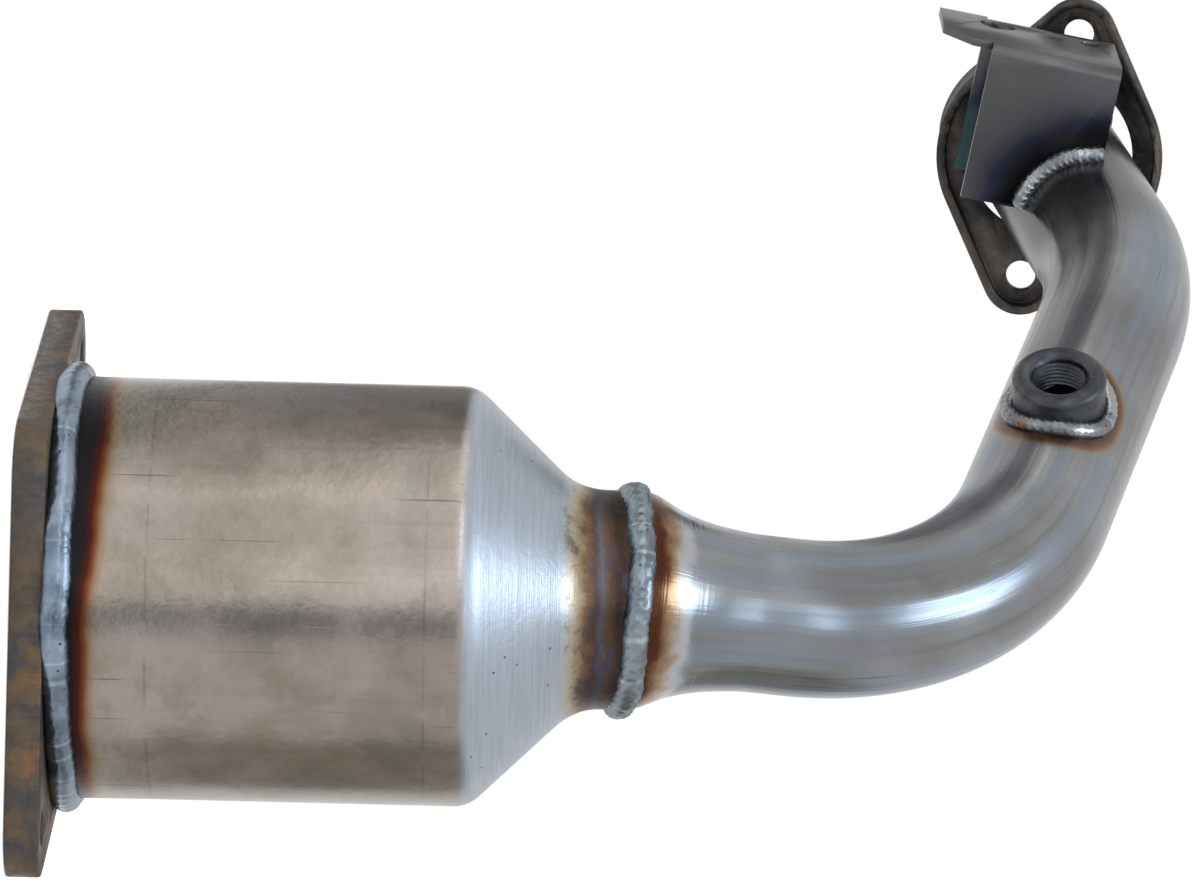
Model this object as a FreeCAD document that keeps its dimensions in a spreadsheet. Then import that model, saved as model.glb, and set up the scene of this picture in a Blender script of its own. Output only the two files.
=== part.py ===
import FreeCAD, Part
import math
import os

import Sketcher
from FreeCAD import Placement, Rotation, Vector

# Catalytic converter with its down pipe. Millimetres, +Z up.
# The origin is the centre of the inlet flange's gasket face, which is the underside,
# and the can stands on it along +Z. The pipe leaves towards +Y and bends to -X.

doc = FreeCAD.newDocument("CatalyticConverter")
sheet = doc.addObject("Spreadsheet::Sheet", "Sizes")

sizes = {
    # ceramic brick and the mat that holds it
    "brick_od": 118.4, "brick_start": 34.0, "brick_run": 92.0, "mat_gap": 2.8, "seal_width": 4.0,
    # can, end cone and neck, spun from one tube
    "can_sheet": 1.5, "can_od": "=brick_od + 2 * (mat_gap + can_sheet)",
    "shoulder_room": 8.2, "can_shoulder": "=brick_start + brick_run + shoulder_room",
    "cone_run": 31.6, "cone_end": "=can_shoulder + cone_run",
    "neck_run": 14.2, "neck_end": "=cone_end + neck_run",
    "shoulder_round": 12.0, "neck_od": 66.4, "neck_round": 22.0,
    # inlet flange, a flame-cut diamond plate whose four sides lie at one distance from the can's axis
    "flange_edge": 1.1, "flange_reach": "=can_od / 2 + flange_edge",
    "flange_tip_angle": 71.0, "flange_tip_round": 15.0, "flange_side_round": 20.0, "flange_plate": 10.0,
    "gasket_land": 4.0, "flange_bore": "=can_od - 2 * gasket_land",
    "bolt_out": 22.0, "flange_bolt_span": "=can_od + 2 * bolt_out", "flange_bolt_hole": 11.0,
    "flange_clock": 128.5, "inlet_weld_rise": 7.2, "inlet_weld_width": 4.6,
    # route of the bent pipe: three straight runs, two bends of one radius, from a foot above the neck
    "pipe_od": 48.0, "pipe_wall": 1.5, "bend_radius": 95.0,
    "foot_rise": 11.0, "pipe_foot": "=neck_end + foot_rise",
    "first_corner_x": 16.7, "first_corner_y": 19.9, "first_corner_rise": 98.4,
    "second_corner_x": -56.5, "second_corner_y": 176.3, "second_corner_rise": 151.9,
    "outlet_x": -82.9, "outlet_y": 292.2, "outlet_rise": 124.3,
    # expanded foot of the pipe, mitred to the neck, and the flare at its outlet
    "foot_straight": 4.6, "swage_run": 33.0,
    "flare_out": 7.0, "flare_od": "=pipe_od + 2 * flare_out", "flare_run": 12.0,
    "neck_weld_size": 4.2, "neck_weld_out": 1.9, "neck_weld_crown": "=neck_od + 2 * neck_weld_out",
    # threaded boss for the oxygen sensor, its height taken from the pipe's axis
    "boss_od": 29.5, "boss_along": 28.4, "boss_rise": 9.5, "boss_height": "=pipe_od / 2 + boss_rise",
    "boss_tilt": -3.0, "thread_core": 16.4, "boss_chamfer": 1.6, "boss_weld_size": 4.4,
    # loose two-bolt flange that hangs on the pipe in front of the flare
    "loose_sheet": 3.0, "loose_depth": 8.0, "loose_land": 14.3, "loose_belly": "=pipe_od / 2 + loose_land",
    "loose_lobe": 12.8, "bolt_land": 4.7, "loose_bolt_span": "=2 * (loose_belly + bolt_land)",
    "loose_bolt_hole": 10.0, "loose_round": 5.0, "loose_back": 23.0, "loose_clear": 1.0, "loose_lean": 24.0,
    "loose_lean_clock": -51.6, "loose_turn": -11.0, "loose_hang": 1.8,
    # channel bracket over the outlet end, its corner placed from the end of the pipe
    "bracket_x": -44.6, "bracket_y": -77.5, "bracket_z": -17.0, "bracket_turn": 10.0,
    "bracket_sheet": 2.5, "bracket_depth": 44.0, "bracket_long": 43.5, "bracket_drop": 52.7,
    "bracket_fold": 4.0, "plate_overhang": 16.2, "plate_corner_long": 9.7, "plate_corner_deep": 14.5,
    "plate_hole": 12.0, "plate_hole_along": 3.0, "plate_hole_deep": 33.0,
    "plate_slot": 6.5, "plate_slot_along": 34.5, "plate_slot_deep": 32.0,
    "bracket_weld_size": 5.4,
}
for row, (name, value) in enumerate(sizes.items(), start=1):
    sheet.set("A%d" % row, name)
    sheet.set("B%d" % row, str(value))
    sheet.setAlias("B%d" % row, name)
doc.recompute()
S = type("S", (), {name: float(sheet.get(name)) for name in sizes})


def bind(obj, prop, expression):
    """Ties a property to the sheet, given the expression in the sheet's own names."""
    for name in sorted(sizes, key=len, reverse=True):
        expression = expression.replace("<" + name + ">", "Sizes." + name)
    obj.setExpression(prop, expression)


def value_of(expression):
    for name in sizes:
        expression = expression.replace("<" + name + ">", "Sizes." + name)
    return float(sheet.evalExpression(expression))


def new_body(label):
    body = doc.addObject("PartDesign::Body", label)
    body.Label = label
    return body


def origin_plane(body, role):
    return next(f for f in body.Origin.OriginFeatures if f.Role == role)


def new_sketch(body, role, name, lift="0"):
    """A sketch on one of the body's own planes, lifted off it along its normal."""
    sketch = body.newObject("Sketcher::SketchObject", name)
    sketch.AttachmentSupport = [(origin_plane(body, role), "")]
    sketch.MapMode = "FlatFace"
    if lift != "0":
        bind(sketch, "AttachmentOffset.Base.z", lift)
    return sketch


def add_circle(sketch, x, y, diameter):
    """A circle with its centre and diameter tied to expressions."""
    cx, cy, d = value_of(x), value_of(y), value_of(diameter)
    geo = sketch.addGeometry(Part.Circle(Vector(cx, cy, 0), Vector(0, 0, 1), d / 2))
    place_point(sketch, geo, 3, x, y)
    index = sketch.addConstraint(Sketcher.Constraint("Diameter", geo, d))
    bind(sketch, "Constraints[%d]" % index, diameter)
    return geo


def place_point(sketch, geo, point, x, y):
    """Holds a point of the sketch at a place tied to expressions."""
    for kind, axis, text in (("DistanceX", -2, x), ("DistanceY", -1, y)):
        number = value_of(text)
        if abs(number) < 1e-9:
            sketch.addConstraint(Sketcher.Constraint("PointOnObject", geo, point, axis))
        else:
            index = sketch.addConstraint(Sketcher.Constraint(kind, -1, 1, geo, point, number))
            bind(sketch, "Constraints[%d]" % index, text)


def add_outline(sketch, corners):
    """A closed outline of straight sides whose corners are tied to expressions."""
    points = [Vector(value_of(x), value_of(y), 0) for x, y in corners]
    first = sketch.GeometryCount
    for i, start in enumerate(points):
        sketch.addGeometry(Part.LineSegment(start, points[(i + 1) % len(points)]))
    for i in range(len(points)):
        following = first + (i + 1) % len(points)
        sketch.addConstraint(Sketcher.Constraint("Coincident", first + i, 2, following, 1))
    for i, (x, y) in enumerate(corners):
        place_point(sketch, first + i, 1, x, y)


def pad(body, sketch, name, length, backwards=False, both=False):
    feature = body.newObject("PartDesign::Pad", name)
    feature.Profile = sketch
    bind(feature, "Length", length)
    feature.Reversed = backwards
    feature.Midplane = both
    doc.recompute()
    return feature


def pocket(body, sketch, name, length=None, backwards=False, both=False):
    """A pocket that is checked to have cut something."""
    before = body.Shape.Volume
    feature = body.newObject("PartDesign::Pocket", name)
    feature.Profile = sketch
    if length is None:
        feature.Type = "ThroughAll"
    else:
        bind(feature, "Length", length)
    feature.Reversed = backwards
    feature.Midplane = both
    doc.recompute()
    if body.Shape.Volume > before - 1e-3:
        raise RuntimeError(name + " cuts nothing")
    return feature


def revolve(body, sketch, name, about="V_Axis"):
    feature = body.newObject("PartDesign::Revolution", name)
    feature.Profile = sketch
    feature.ReferenceAxis = (sketch, [about])
    feature.Angle = 360
    doc.recompute()
    return feature


def fillet(body, base, name, radius, chosen):
    """Rounds the edges of the last feature that the test picks out."""
    edges = ["Edge%d" % (i + 1) for i, e in enumerate(base.Shape.Edges) if chosen(e)]
    if not edges:
        raise RuntimeError(name + " finds no edge")
    feature = body.newObject("PartDesign::Fillet", name)
    feature.Base = (base, edges)
    bind(feature, "Radius", radius)
    doc.recompute()
    return feature


def is_ring(edge, radius, height, slack=0.01):
    """True for a full circle about the body's Z axis."""
    curve = edge.Curve
    return (isinstance(curve, Part.Circle) and abs(curve.Radius - radius) < slack
            and abs(curve.Center.z - height) < slack)


def frame_along(point, direction, side=Vector(0, 0, 1)):
    """A placement whose Z runs along a direction and whose X lies square to the side vector."""
    z = Vector(direction).normalize()
    x = side.cross(z).normalize()
    return Placement(point, Rotation(x, z.cross(x), z, "ZXY"))


def combine(kind, label, base, tool):
    """A boolean of two objects of the document."""
    feature = doc.addObject("Part::" + kind, label)
    feature.Base = base
    feature.Tool = tool
    feature.Label = label
    doc.recompute()
    return feature


def tool_cylinder(name, radius, height, place):
    cylinder = doc.addObject("Part::Cylinder", name)
    bind(cylinder, "Radius", radius)
    bind(cylinder, "Height", height)
    cylinder.Placement = place
    doc.recompute()
    return cylinder


# ---- route of the pipe ----------------------------------------------------------------

foot = Vector(0, 0, S.pipe_foot)
corner_one = foot + Vector(S.first_corner_x, S.first_corner_y, S.first_corner_rise)
corner_two = foot + Vector(S.second_corner_x, S.second_corner_y, S.second_corner_rise)
outlet = foot + Vector(S.outlet_x, S.outlet_y, S.outlet_rise)
run_one = (corner_one - foot).normalize()
run_two = (corner_two - corner_one).normalize()
run_three = (outlet - corner_two).normalize()
neck_mouth = Vector(0, 0, S.neck_end)
foot_place = frame_along(neck_mouth, run_one)
mitre_normal = (Vector(0, 0, 1) + run_one).normalize()
outlet_place = frame_along(outlet, run_three)


def set_back(before, after):
    """Distance from a corner of the route to where its bend starts."""
    return S.bend_radius * math.tan(before.getAngle(after) / 2)


def bend(corner, before, after):
    """The arc that rounds a corner of the route."""
    reach = set_back(before, after)
    start, end = corner - before * reach, corner + after * reach
    inward = (after - before).normalize()
    to_centre = S.bend_radius / math.cos(before.getAngle(after) / 2)
    middle = corner + inward * (to_centre - S.bend_radius)
    return Part.Arc(start, middle, end)


def bent_rod(radius, start, end):
    """A rod of one radius along the whole route."""
    first, second = bend(corner_one, run_one, run_two), bend(corner_two, run_two, run_three)
    edges = [
        Part.LineSegment(start, first.StartPoint), first,
        Part.LineSegment(first.EndPoint, second.StartPoint), second,
        Part.LineSegment(second.EndPoint, end),
    ]
    path = Part.Wire([e.toShape() for e in edges])
    ring = Part.Wire(Part.Circle(start, run_one, radius).toShape())
    return path.makePipeShell([ring], True, False)


def turned(points, place):
    """A solid turned about its own Z axis from (radius, height) points; a three-value entry
    is the middle of an arc that joins its neighbours."""
    edges, at = [], None
    stack = list(points)
    i = 0
    while i < len(stack):
        p = stack[i]
        if len(p) == 3:
            after = Vector(stack[i + 1][0], 0, stack[i + 1][1])
            edges.append(Part.Arc(at, Vector(p[0], 0, p[1]), after).toShape())
            at = after
            i += 2
            continue
        here = Vector(p[0], 0, p[1])
        if at is not None:
            edges.append(Part.LineSegment(at, here).toShape())
        at = here
        i += 1
    edges.append(Part.LineSegment(at, Vector(stack[0][0], 0, stack[0][1])).toShape())
    solid = Part.Face(Part.Wire(edges)).revolve(Vector(0, 0, 0), Vector(0, 0, 1), 360)
    solid = Part.Solid(solid.Shells[0]) if solid.ShapeType != "Solid" else solid
    solid.Placement = place
    return solid


# ---- inlet flange ---------------------------------------------------------------------

def diamond(sketch, extra="0"):
    """The flange's outline before its corners are rounded, its long way along the sketch's X."""
    reach = "(<flange_reach> + " + extra + ")"
    tip = reach + " / sin(<flange_tip_angle> / 2)"
    side = reach + " / cos(<flange_tip_angle> / 2)"
    add_outline(sketch, [(tip, "0"), ("0", side), ("-" + tip, "0"), ("0", "-" + side)])


def build_flange_blank(name, height, extra="0"):
    """The diamond plate with all four corners rounded."""
    body = new_body(name)
    body.Placement = Placement(Vector(0, 0, 0), Rotation(Vector(0, 0, 1), S.flange_clock))
    plan = new_sketch(body, "XY_Plane", name + "Plan")
    diamond(plan, extra)
    plate = pad(body, plan, name + "Plate", height)
    tips = fillet(body, plate, name + "Tips", "<flange_tip_round> + " + extra,
                  lambda e: abs(e.CenterOfMass.y) < 0.01 and abs(e.CenterOfMass.x) > 1)
    fillet(body, tips, name + "Sides", "<flange_side_round> + " + extra,
           lambda e: abs(e.CenterOfMass.x) < 0.01 and abs(e.CenterOfMass.y) > S.flange_reach)
    return body


def build_inlet_flange():
    body = build_flange_blank("inlet_flange", "<flange_plate>")
    holes = new_sketch(body, "XY_Plane", "FlangeHoles")
    add_circle(holes, "0", "0", "<flange_bore>")
    add_circle(holes, "<flange_bolt_span> / 2", "0", "<flange_bolt_hole>")
    add_circle(holes, "-<flange_bolt_span> / 2", "0", "<flange_bolt_hole>")
    pocket(body, holes, "FlangeCut", "<flange_plate>", backwards=True)
    return body


def build_inlet_weld():
    """Bead in the corner between the flange and the can, no wider than the plate it runs on."""
    low, high = S.flange_plate, S.flange_plate + S.inlet_weld_rise
    near, far = S.can_od / 2, S.can_od / 2 + S.inlet_weld_width
    crown = (far - S.inlet_weld_width * 0.22, low + S.inlet_weld_rise * 0.62, "arc")
    bead = turned([(near, low), (far, low), crown, (near, high)], Placement())
    ring = doc.addObject("Part::Feature", "InletBead")
    ring.Shape = bead
    limit = build_flange_blank("InletBeadLimit", "<flange_plate> + 2 * <inlet_weld_rise>", "1")
    return combine("Common", "inlet_flange_weld", ring, limit)


# ---- can, cone and neck ---------------------------------------------------------------

def mitre_tool(name, direction):
    """A block that ends on the plane where the neck and the pipe's foot meet."""
    place = frame_along(neck_mouth, mitre_normal * direction)
    return tool_cylinder(name, "<can_od> / 2", "<can_od> / 2", place)


def build_shell_solid(name, inset):
    """The can, cone and neck as one solid, smaller all round by the inset."""
    body = new_body(name)
    profile = new_sketch(body, "XZ_Plane", name + "Profile")
    slope = math.atan2((S.can_od - S.neck_od) / 2, S.cone_end - S.can_shoulder)
    drop = "%s * %.9f" % (inset, math.tan(slope / 2))
    wide = "<can_od> / 2 - " + inset
    narrow = "<neck_od> / 2 - " + inset
    neck_top = "<neck_end> + <neck_od> / 4"
    add_outline(profile, [
        ("0", "<flange_plate>"), (wide, "<flange_plate>"), (wide, "<can_shoulder> - " + drop),
        (narrow, "<cone_end> - " + drop), (narrow, neck_top), ("0", neck_top),
    ])
    solid = revolve(body, profile, name + "Turn")
    level = value_of("<can_shoulder> - " + drop)
    solid = fillet(body, solid, name + "Shoulder", "<shoulder_round> - " + inset,
                   lambda e: is_ring(e, value_of(wide), level))
    level_two = value_of("<cone_end> - " + drop)
    solid = fillet(body, solid, name + "Throat", "<neck_round> + " + inset,
                   lambda e: is_ring(e, value_of(narrow), level_two))
    return body


def build_converter_shell():
    """Sheet between two turned solids, its neck cut off on the mitre."""
    wall = combine("Cut", "ShellWall", build_shell_solid("ShellOuter", "0"),
                   build_shell_solid("ShellInner", "<can_sheet>"))
    return combine("Cut", "converter_shell", wall, mitre_tool("ShellMitre", 1))


# ---- brick and mat --------------------------------------------------------------------

def build_catalyst_brick():
    body = new_body("catalyst_brick")
    plan = new_sketch(body, "XY_Plane", "BrickPlan", "<brick_start>")
    add_circle(plan, "0", "0", "<brick_od>")
    pad(body, plan, "Brick", "<brick_run>")
    return body


def build_band(label, start, run):
    """A band of the space between the brick and the can."""
    body = new_body(label)
    plan = new_sketch(body, "XY_Plane", label + "Plan", start)
    add_circle(plan, "0", "0", "<can_od> - 2 * <can_sheet>")
    add_circle(plan, "0", "0", "<brick_od>")
    pad(body, plan, label + "Pad", run)
    return body


# ---- bent pipe ------------------------------------------------------------------------

def foot_profile(inset):
    """The expanded foot: as wide as the neck at the mitre, then swaged down to the pipe."""
    wide, narrow = S.neck_od / 2 - inset, S.pipe_od / 2 - inset
    start, run = S.foot_straight, S.swage_run
    fall = wide - narrow
    return [
        (0, -2 * start), (wide, -2 * start), (wide, start),
        (wide - fall * 0.2, start + run * 0.12, "arc"),
        (wide - fall * 0.51, start + run * 0.29),
        (wide - fall * 0.83, start + run * 0.58, "arc"),
        (narrow, start + run), (0, start + run),
    ]


def flare_profile(inset):
    """The outlet flare, rounded out from the pipe like a trumpet's mouth."""
    narrow, wide = S.pipe_od / 2 - inset, S.flare_od / 2 - inset
    rise = S.flare_run
    return [
        (0, -rise), (narrow, -rise),
        (narrow + (wide - narrow) * 0.22, -rise * 0.42, "arc"),
        (wide, 0), (0, 0),
    ]


def build_outlet_pipe():
    """Tube along the route, with its expanded foot, its flare and the sensor's hole."""
    start = neck_mouth + run_one * (S.foot_straight + S.swage_run)
    end = outlet - run_three * S.flare_run
    outer = turned(foot_profile(0), foot_place).fuse(
        [bent_rod(S.pipe_od / 2, start, end), turned(flare_profile(0), outlet_place)])
    inner = turned(foot_profile(S.pipe_wall), foot_place).fuse(
        [bent_rod(S.pipe_od / 2 - S.pipe_wall, start, end), turned(flare_profile(S.pipe_wall), outlet_place)])
    sensor_hole = Part.makeCylinder(S.thread_core / 2, S.pipe_od, boss_axis_point, boss_direction)
    pipe = doc.addObject("Part::Feature", "outlet_pipe")
    pipe.Label = "outlet_pipe"
    below = mitre_tool("PipeMitre", -1).Shape
    pipe.Shape = outer.removeSplitter().cut(inner.removeSplitter()).cut(sensor_hole).cut(below)
    return pipe


def build_neck_weld():
    """Bead round the mitre where the neck and the pipe's foot meet."""
    bead = doc.addObject("Part::Torus", "NeckBead")
    bind(bead, "Radius1", "<neck_weld_crown> / 2 - <neck_weld_size>")
    bind(bead, "Radius2", "<neck_weld_size>")
    bead.Placement = frame_along(neck_mouth, mitre_normal)
    pipe_seat = doc.addObject("Part::Feature", "NeckBeadSeat")
    pipe_seat.Shape = turned(foot_profile(0), foot_place)
    ring = combine("Cut", "NeckBeadOnPipe", bead, pipe_seat)
    return combine("Cut", "neck_weld", ring, doc.getObject("ShellOuter"))


# ---- sensor boss ----------------------------------------------------------------------

boss_axis_point = corner_one + run_two * (set_back(run_one, run_two) + S.boss_along)
level_side = Vector(0, 0, 1).cross(run_two).normalize()
boss_direction = Rotation(run_two, S.boss_tilt).multVec(level_side)
boss_place = frame_along(boss_axis_point, boss_direction)


def pipe_rod(name, gap="0"):
    """The straight middle run of the pipe as a solid rod, to cut saddles with."""
    length = (corner_two - corner_one).Length
    return tool_cylinder(name, "<pipe_od> / 2 + " + gap, "%.6f" % length,
                         frame_along(corner_one, run_two))


def build_sensor_boss():
    body = new_body("SensorBossBlank")
    body.Placement = boss_place
    profile = new_sketch(body, "XZ_Plane", "BossProfile")
    outer, core = "<boss_od> / 2", "<thread_core> / 2"
    add_outline(profile, [
        (core, "<pipe_od> / 4"), (outer, "<pipe_od> / 4"), (outer, "<boss_height> - <boss_chamfer>"),
        (outer + " - <boss_chamfer>", "<boss_height>"), (core + " + <boss_chamfer>", "<boss_height>"),
        (core, "<boss_height> - <boss_chamfer>"),
    ])
    revolve(body, profile, "BossTurn")
    return combine("Cut", "sensor_boss", body, pipe_rod("BossSaddle"))


def build_sensor_boss_weld():
    """Bead that follows the saddle between the boss and the pipe."""
    cone = doc.addObject("Part::Cone", "BossBeadCone")
    bind(cone, "Radius1", "<boss_od> / 2 + 1.3 * <boss_weld_size>")
    bind(cone, "Radius2", "<boss_od> / 2 + 0.1")
    bind(cone, "Height", "<pipe_od> / 4 + <boss_weld_size>")
    cone.Placement = Placement(boss_axis_point + boss_direction * (S.pipe_od / 4), boss_place.Rotation)
    skin = combine("Common", "BossBeadSkin", cone, pipe_rod("BossBeadOver", "<boss_weld_size> * 0.85"))
    ring = combine("Cut", "BossBeadRing", skin, pipe_rod("BossBeadUnder"))
    stem = tool_cylinder("BossBeadStem", "<boss_od> / 2", "2 * <boss_height>", boss_place)
    return combine("Cut", "sensor_boss_weld", ring, stem)


# ---- loose outlet flange --------------------------------------------------------------

def lozenge(sketch, belly, lobe):
    """A belly circle and two lobe circles joined by their four tangent lines."""
    big, small, half = value_of(belly), value_of(lobe), S.loose_bolt_span / 2
    turn = math.asin((big - small) / half)

    def on_belly(sx, sy):
        return Vector(sx * big * math.sin(turn), sy * big * math.cos(turn), 0)

    def on_lobe(sx, sy):
        return Vector(sx * (half + small * math.sin(turn)), sy * small * math.cos(turn), 0)

    pieces = [
        Part.Arc(on_belly(1, 1), Vector(0, big, 0), on_belly(-1, 1)),
        Part.LineSegment(on_belly(-1, 1), on_lobe(-1, 1)),
        Part.Arc(on_lobe(-1, 1), Vector(-half - small, 0, 0), on_lobe(-1, -1)),
        Part.LineSegment(on_lobe(-1, -1), on_belly(-1, -1)),
        Part.Arc(on_belly(-1, -1), Vector(0, -big, 0), on_belly(1, -1)),
        Part.LineSegment(on_belly(1, -1), on_lobe(1, -1)),
        Part.Arc(on_lobe(1, -1), Vector(half + small, 0, 0), on_lobe(1, 1)),
        Part.LineSegment(on_lobe(1, 1), on_belly(1, 1)),
    ]
    first = sketch.GeometryCount
    for piece in pieces:
        sketch.addGeometry(piece)
    for i in range(8):
        sketch.addConstraint(Sketcher.Constraint("Tangent", first + i, 2, first + (i + 1) % 8, 1))
    for arc in (first, first + 4):
        sketch.addConstraint(Sketcher.Constraint("Coincident", arc, 3, -1, 1))
        index = sketch.addConstraint(Sketcher.Constraint("Radius", arc, big))
        bind(sketch, "Constraints[%d]" % index, belly)
    for arc, x in ((first + 2, "-<loose_bolt_span> / 2"), (first + 6, "<loose_bolt_span> / 2")):
        place_point(sketch, arc, 3, x, "0")
        index = sketch.addConstraint(Sketcher.Constraint("Radius", arc, small))
        bind(sketch, "Constraints[%d]" % index, lobe)


def build_outlet_flange():
    """Pressed plate with a turned-up rim. It hangs on the pipe, cocked over by its lean."""
    body = new_body("outlet_flange")
    lean, clock = math.radians(S.loose_lean), math.radians(S.loose_lean_clock)
    sideways = outlet_place.Rotation.multVec(Vector(math.cos(clock), math.sin(clock), 0))
    rim_side = sideways * math.sin(lean) - run_three * math.cos(lean)
    centre = outlet - run_three * S.loose_back + Vector(0, 0, S.loose_hang)
    body.Placement = frame_along(centre, rim_side).multiply(
        Placement(Vector(0, 0, 0), Rotation(Vector(0, 0, 1), S.loose_turn)))
    plan = new_sketch(body, "XY_Plane", "LooseOutline")
    lozenge(plan, "<loose_belly>", "<loose_lobe>")
    dish = pad(body, plan, "LooseBlank", "<loose_depth>")
    fillet(body, dish, "LooseHeel", "<loose_round>",
           lambda e: abs(e.BoundBox.ZMax) < 0.01 and abs(e.BoundBox.ZMin) < 0.01)
    well = new_sketch(body, "XY_Plane", "LooseWell", "<loose_sheet>")
    lozenge(well, "<loose_belly> - <loose_sheet>", "<loose_lobe> - <loose_sheet>")
    pocket(body, well, "LoosePan", "<loose_depth>", backwards=True)
    holes = new_sketch(body, "XY_Plane", "LooseHoles")
    half = "<loose_bolt_span> / 2"
    add_circle(holes, half, "0", "<loose_bolt_hole>")
    add_circle(holes, "-" + half, "0", "<loose_bolt_hole>")
    slanted = "(<pipe_od> + 2 * <loose_clear>) / cos(<loose_lean>) + <loose_sheet> * tan(<loose_lean>)"
    add_circle(holes, "0", "0", slanted)
    pocket(body, holes, "LooseBores", backwards=True)
    return body


# ---- bracket --------------------------------------------------------------------------

bracket_turn = Rotation(Vector(0, 1, 0), S.bracket_turn)
bracket_along = bracket_turn.multVec(Vector(0, 0, 1))
bracket_down = bracket_turn.multVec(Vector(1, 0, 0))
bracket_corner = outlet + Vector(S.bracket_x, S.bracket_y, S.bracket_z)
bracket_place = Placement(bracket_corner, Rotation(Vector(0, 1, 0), bracket_down.negative(),
                                                   bracket_along, "ZXY"))


def build_bracket():
    """Channel of folded sheet: a top plate and two webs, saddle-cut round the pipe."""
    body = new_body("BracketFolded")
    body.Placement = bracket_place
    section = new_sketch(body, "XY_Plane", "ChannelSection")
    deep, drop, sheet_ = "<bracket_depth>", "<bracket_drop>", "<bracket_sheet>"
    add_outline(section, [
        ("0", "0"), (deep, "0"), (deep, "-" + drop), (deep + " - " + sheet_, "-" + drop),
        (deep + " - " + sheet_, "-" + sheet_), (sheet_, "-" + sheet_), (sheet_, "-" + drop), ("0", "-" + drop),
    ])
    channel = pad(body, section, "Channel", "<bracket_long>")

    def fold_line(edge, inset):
        at = edge.CenterOfMass
        return (abs(at.y + inset) < 0.01 and min(abs(at.x - inset), abs(at.x - S.bracket_depth + inset)) < 0.01
                and abs(edge.Length - S.bracket_long) < 0.01)

    fold = fillet(body, channel, "FoldOutside", "<bracket_fold>", lambda e: fold_line(e, 0))
    fillet(body, fold, "FoldInside", "<bracket_fold> - <bracket_sheet>",
           lambda e: fold_line(e, S.bracket_sheet))
    ear = new_sketch(body, "XY_Plane", "EarSection")
    flat = "<bracket_fold>"
    add_outline(ear, [(flat, "0"), (deep, "0"), (deep, "-" + sheet_), (flat, "-" + sheet_)])
    pad(body, ear, "Ear", "<plate_overhang>", backwards=True)
    clip = new_sketch(body, "XZ_Plane", "EarCorner")
    tip = "-<plate_overhang>"
    add_outline(clip, [
        ("0", tip), ("<plate_corner_deep>", tip), ("<bracket_fold> - 0.01", tip + " + <plate_corner_long>"),
        ("0", tip + " + <plate_corner_long>"),
    ])
    pocket(body, clip, "EarClip", "<bracket_sheet>", backwards=True)
    holes = new_sketch(body, "XZ_Plane", "PlateHoles")
    add_circle(holes, "<plate_hole_deep>", "<plate_hole_along>", "<plate_hole>")
    add_circle(holes, "<plate_slot_deep>", "<plate_slot_along>", "<plate_slot>")
    pocket(body, holes, "PlateDrill", "<bracket_sheet>", backwards=True)
    return combine("Cut", "bracket", body, outlet_rod("BracketSaddle"))


def outlet_rod(name, gap="0"):
    """The pipe's last straight run as a solid rod."""
    length = (outlet - corner_two).Length
    return tool_cylinder(name, "<pipe_od> / 2 + " + gap, "%.6f" % length,
                         frame_along(corner_two, run_three))


def build_bracket_weld(label, face, outward):
    """Bead between one web and the pipe, on the side of the web that faces outward."""
    collar = outlet_rod(label + "Collar", "<bracket_weld_size>")
    slab = doc.addObject("Part::Box", label + "Slab")
    bind(slab, "Length", "0.8 * <bracket_weld_size>")
    bind(slab, "Width", "<bracket_drop> - <bracket_sheet>")
    bind(slab, "Height", "<bracket_long>")
    shift = Vector(value_of(face) - (0 if outward > 0 else 0.8 * S.bracket_weld_size), -S.bracket_drop, 0)
    slab.Placement = bracket_place.multiply(Placement(shift, Rotation()))
    ring = combine("Common", label + "Ring", collar, slab)
    return combine("Cut", label, ring, outlet_rod(label + "Under"))


print("sizes read", len(sizes))
parts = [
    build_inlet_flange(), build_inlet_weld(), build_converter_shell(), build_catalyst_brick(),
    build_band("mounting_mat", "<brick_start> + <seal_width>", "<brick_run> - 2 * <seal_width>"),
    build_band("front_mat_seal", "<brick_start>", "<seal_width>"),
    build_band("rear_mat_seal", "<brick_start> + <brick_run> - <seal_width>", "<seal_width>"),
    build_outlet_pipe(), build_neck_weld(), build_sensor_boss(), build_sensor_boss_weld(),
    build_outlet_flange(), build_bracket(),
    build_bracket_weld("bracket_front_weld", "0", -1),
    build_bracket_weld("bracket_back_weld", "<bracket_depth>", 1),
]
doc.recompute()
os.makedirs("parts", exist_ok=True)
for obj in parts:
    print(obj.Label, obj.State, obj.Shape.isValid(), len(obj.Shape.Solids), round(obj.Shape.Volume / 1000, 2),
          [round(v, 1) for v in (obj.Shape.BoundBox.XMin, obj.Shape.BoundBox.XMax, obj.Shape.BoundBox.YMin,
                                 obj.Shape.BoundBox.YMax, obj.Shape.BoundBox.ZMin, obj.Shape.BoundBox.ZMax)])
    obj.Shape.exportStep("parts/%s.step" % obj.Label)
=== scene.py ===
import math

import bmesh
import bpy
import numpy as np
from mathutils import Matrix, Vector


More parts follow.
